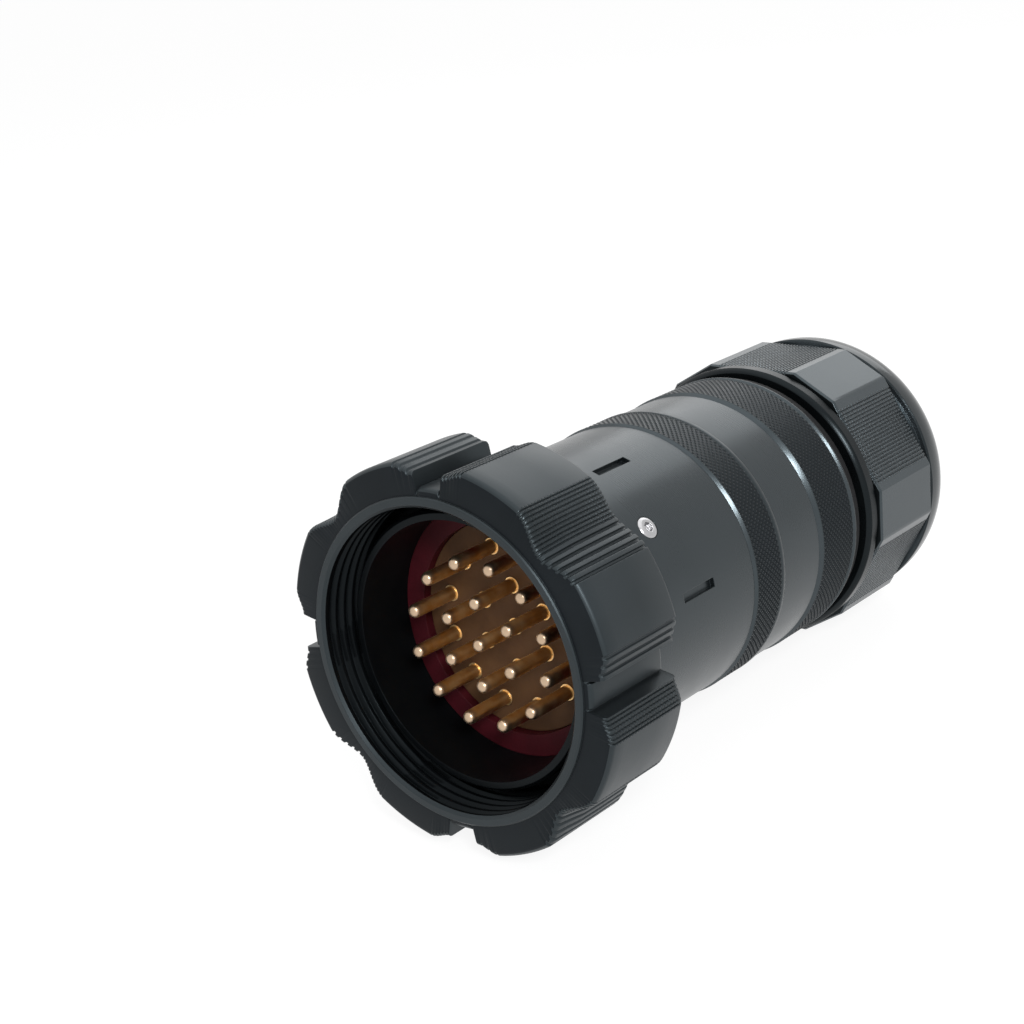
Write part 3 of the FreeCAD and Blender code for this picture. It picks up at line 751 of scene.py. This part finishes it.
def contact(number, circle, angle):
    """Round pin with a domed tip, a shoulder in the front disc and a wider rear end."""
    profile = [(PIN_TIP, 0.28), (PIN_TIP + 0.08, 0.62), (PIN_TIP + 0.28, 0.93), (PIN_TIP + 0.55, 1.1),
               (PIN_TIP + 0.95, PIN), (INSERT_FACE - 0.2, PIN), (INSERT_FACE, PIN + 0.02),
               (INSERT_FACE, PIN_SHOULDER), (INSULATOR_JOINT, PIN_SHOULDER),
               (INSULATOR_JOINT, PIN_SOCKET), (PIN_END - 0.3, PIN_SOCKET), (PIN_END, PIN_SOCKET - 0.25)]
    name = "contact_pin_%02d" % number
    centre = place(0, circle, angle) - MOUTH
    turns = [360.0 * side / PIN_SIDES for side in range(PIN_SIDES)]
    rings = [[place(x, radius, turn) + centre for turn in turns] for x, radius in profile]
    capped_rings(name + "_gold", rings, "shell_body", contact_gold, [name])


def locking_screw():
    """Domed head with a hexagonal recess, turned round the screw's own radial axis."""
    seat = place(SCREW_X, BARREL, SCREW_ANGLE)
    outward = (place(0.0, 1.0, SCREW_ANGLE) - MOUTH).normalized()
    across = AXIS.cross(outward)
    recess = [(0.8, -0.5), (0.8, 0.24), (0.92, 0.34)]
    head = [(1.3, 0.29), (1.65, 0.17), (1.88, 0.0), (SCREW_HEAD, -0.16), (SCREW_HEAD, SCREW_SEAT),
            (SCREW_SHANK, SCREW_SEAT), (SCREW_SHANK, SCREW_SEAT - 1.2)]
    hexagon_half = math.pi / 6
    rings = []
    for radius, height in recess + head:
        ring = []
        for side in range(SCREW_SIDES):
            turn = 2 * math.pi * side / SCREW_SIDES
            reach = radius
            if (radius, height) in recess:
                reach /= math.cos((turn + hexagon_half) % (2 * hexagon_half) - hexagon_half)
            offset = AXIS * math.cos(turn) + across * math.sin(turn)
            ring.append(seat + (outward * height + offset * reach) * MM)
        rings.append(ring)
    capped_rings("locking_screw_domed", rings, "shell_body", screw_steel,
                 ["locking_screw"])


locking_screw()
contact(1, 0.0, 0.0)
for index in range(6):
    contact(2 + index, INNER_CIRCLE, index * 60.0)
for index in range(12):
    contact(8 + index, OUTER_CIRCLE, 15.0 + index * 30.0)


# Floor, light and camera
FLOOR_HALF = 3.0
FLOOR_COLOUR = (0.86, 0.86, 0.86, 1)
FLOOR_GLOW = 1.12
FLOOR_GLOW_SHARE = 0.8
SKY_LIGHT = 0.4
WHITE = (1, 1, 1, 1)
CENTRE = (0, 0, 0.03)


def seen_white(tree):
    """1 for the rays that see the background itself: the camera's, glossy and clear ones."""
    rays = tree.nodes.new("ShaderNodeLightPath")
    seen = math_node(tree, "MAXIMUM", rays.outputs["Is Camera Ray"], rays.outputs["Is Glossy Ray"])
    return math_node(tree, "MAXIMUM", seen, rays.outputs["Is Transmission Ray"])


def floor():
    """Pale floor that takes the shadow, with a white glow for the rays that see it."""
    mesh = bpy.data.meshes.new("floor")
    work = bmesh.new()
    bmesh.ops.create_grid(work, x_segments=4, y_segments=4, size=FLOOR_HALF)
    work.to_mesh(mesh)
    work.free()
    plane = bpy.data.objects.new("floor", mesh)
    scene.collection.objects.link(plane)
    material, tree, shader = node_material("floor_pale")
    shader.inputs["Base Color"].default_value = FLOOR_COLOUR
    shader.inputs["Roughness"].default_value = 0.7
    glow = tree.nodes.new("ShaderNodeEmission")
    glow.inputs["Color"].default_value = WHITE
    glow.inputs["Strength"].default_value = FLOOR_GLOW
    mix = tree.nodes.new("ShaderNodeMixShader")
    link(tree, math_node(tree, "MULTIPLY", seen_white(tree), FLOOR_GLOW_SHARE), mix.inputs[0])
    link(tree, shader.outputs[0], mix.inputs[1])
    link(tree, glow.outputs[0], mix.inputs[2])
    link(tree, mix.outputs[0], tree.nodes["Material Output"].inputs["Surface"])
    mesh.materials.append(material)


def world():
    """White where it is seen, weaker as a light."""
    scene.world = bpy.data.worlds.new("studio")
    scene.world.use_nodes = True
    tree = scene.world.node_tree
    background = tree.nodes["Background"]
    background.inputs["Color"].default_value = WHITE
    strength = math_node(tree, "MULTIPLY_ADD", seen_white(tree), 1.0 - SKY_LIGHT, SKY_LIGHT)
    link(tree, strength, background.inputs["Strength"])


def area_light(name, position, target, side, energy):
    """Square lamp that faces its target."""
    light = bpy.data.lights.new(name, "AREA")
    light.size = side
    light.energy = energy
    lamp = bpy.data.objects.new(name, light)
    scene.collection.objects.link(lamp)
    lamp.location = position
    lamp.rotation_euler = (Vector(target) - Vector(position)).to_track_quat("-Z", "Y").to_euler()


def camera():
    """Camera fitted to the photo's outlines."""
    lens = bpy.data.cameras.new("camera")
    lens.sensor_width = 36.0
    lens.lens = 70.921464
    lens.clip_start = 0.01
    holder = bpy.data.objects.new("camera", lens)
    scene.collection.objects.link(holder)
    right = Vector((0.618214, -0.775218, -0.129837))
    above = Vector((0.358421, 0.131025, 0.924314))
    ahead = Vector((0.699536, 0.617955, -0.35886))
    turn = Matrix((right, above, -ahead)).transposed().to_4x4()
    position = Vector((-0.269329, -0.203656, 0.170979))
    holder.matrix_world = Matrix.Translation(position) @ turn
    scene.camera = holder


floor()
world()
area_light("key", (0.05, 0.05, 0.7), CENTRE, side=0.9, energy=1.7)
area_light("front", (-0.31, -0.34, 0.33), CENTRE, side=0.12, energy=1.9)
area_light("rim", (0.5, 0.15, 0.35), (0.03, 0, 0.03), side=0.4, energy=0.6)
camera()
scene.view_settings.view_transform = "Standard"
